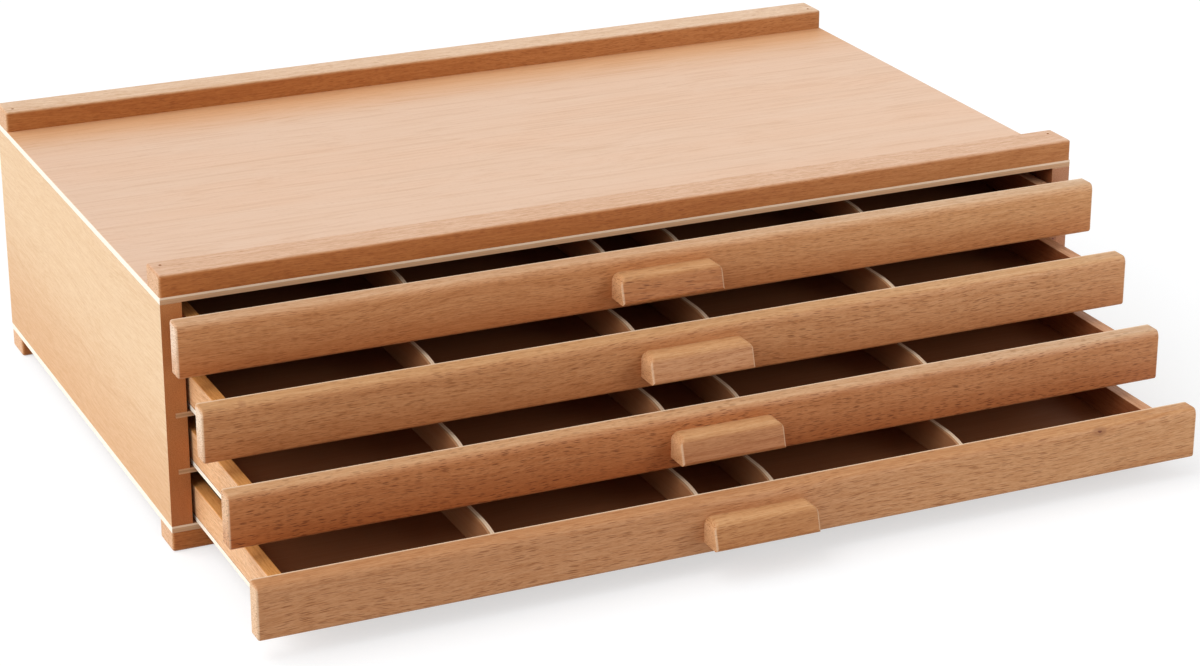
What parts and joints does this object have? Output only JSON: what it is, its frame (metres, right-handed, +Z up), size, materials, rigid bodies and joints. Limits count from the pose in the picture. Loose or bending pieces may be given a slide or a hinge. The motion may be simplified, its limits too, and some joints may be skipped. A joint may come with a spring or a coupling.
{
  "type": "pencil drawer box",
  "caption": "Low wooden desktop drawer box for pencils: stacked shallow divided drawers with overlaid fronts and block pulls, in a case with raised bars along its top and bottom edges.",
  "frame": {"origin": "centre of the front foot's underside, at table level", "axes": "+X to the right along the width as seen from the front, +Y from the drawer fronts to the back, +Z up"},
  "size_m": [0.4, 0.3539, 0.1138],
  "materials": {
    "beech_front": "clear satin over planed beech, grain along X",
    "beech_bar": "clear satin over planed beech, grain along X",
    "beech_side": "clear satin over beech, grain from front to back",
    "beech_box": "sanded beech, grain along each piece",
    "plywood": "clear satin beech face on thin plywood with pale edges",
    "steel": "plain bright wire and screws"
  },
  "bodies": {
    "case": {"back_panel": "plywood", "back_pins": "steel", "bottom_panel": "plywood", "drawer_1_shelf": "plywood", "drawer_2_shelf": "plywood", "drawer_3_shelf": "plywood", "foot_pins": "steel", "front_foot": "beech_bar", "front_rail": "beech_bar", "left_side_panel": "beech_side", "rail_pins": "steel", "rear_foot": "beech_bar", "rear_rail": "beech_bar", "right_side_panel": "beech_side", "top_panel": "plywood"},
    "drawer_1": {"drawer_1_back": "beech_box", "drawer_1_bottom": "plywood", "drawer_1_divider_1": "plywood", "drawer_1_divider_2": "plywood", "drawer_1_divider_3": "plywood", "drawer_1_divider_4": "plywood", "drawer_1_front": "beech_front", "drawer_1_left_side": "beech_box", "drawer_1_pull": "beech_front", "drawer_1_pull_screws": "steel", "drawer_1_right_side": "beech_box"},
    "drawer_2": {"drawer_2_back": "beech_box", "drawer_2_bottom": "plywood", "drawer_2_divider_1": "plywood", "drawer_2_divider_2": "plywood", "drawer_2_divider_3": "plywood", "drawer_2_divider_4": "plywood", "drawer_2_front": "beech_front", "drawer_2_left_side": "beech_box", "drawer_2_pull": "beech_front", "drawer_2_pull_screws": "steel", "drawer_2_right_side": "beech_box"},
    "drawer_3": {"drawer_3_back": "beech_box", "drawer_3_bottom": "plywood", "drawer_3_divider_1": "plywood", "drawer_3_divider_2": "plywood", "drawer_3_divider_3": "plywood", "drawer_3_divider_4": "plywood", "drawer_3_front": "beech_front", "drawer_3_left_side": "beech_box", "drawer_3_pull": "beech_front", "drawer_3_pull_screws": "steel", "drawer_3_right_side": "beech_box"},
    "drawer_4": {"drawer_4_back": "beech_box", "drawer_4_bottom": "plywood", "drawer_4_divider_1": "plywood", "drawer_4_divider_2": "plywood", "drawer_4_divider_3": "plywood", "drawer_4_divider_4": "plywood", "drawer_4_front": "beech_front", "drawer_4_left_side": "beech_box", "drawer_4_pull": "beech_front", "drawer_4_pull_screws": "steel", "drawer_4_right_side": "beech_box"}
  },
  "joints": [
    {"name": "drawer_1_slide", "type": "slide", "parent": "case", "child": "drawer_1", "axis": [0, -1, 0], "range_m": [-0.0108, 0.149]},
    {"name": "drawer_2_slide", "type": "slide", "parent": "case", "child": "drawer_2", "axis": [0, -1, 0], "range_m": [-0.0383, 0.1215]},
    {"name": "drawer_3_slide", "type": "slide", "parent": "case", "child": "drawer_3", "axis": [0, -1, 0], "range_m": [-0.0653, 0.0945]},
    {"name": "drawer_4_slide", "type": "slide", "parent": "case", "child": "drawer_4", "axis": [0, -1, 0], "range_m": [-0.0948, 0.065]}
  ]
}
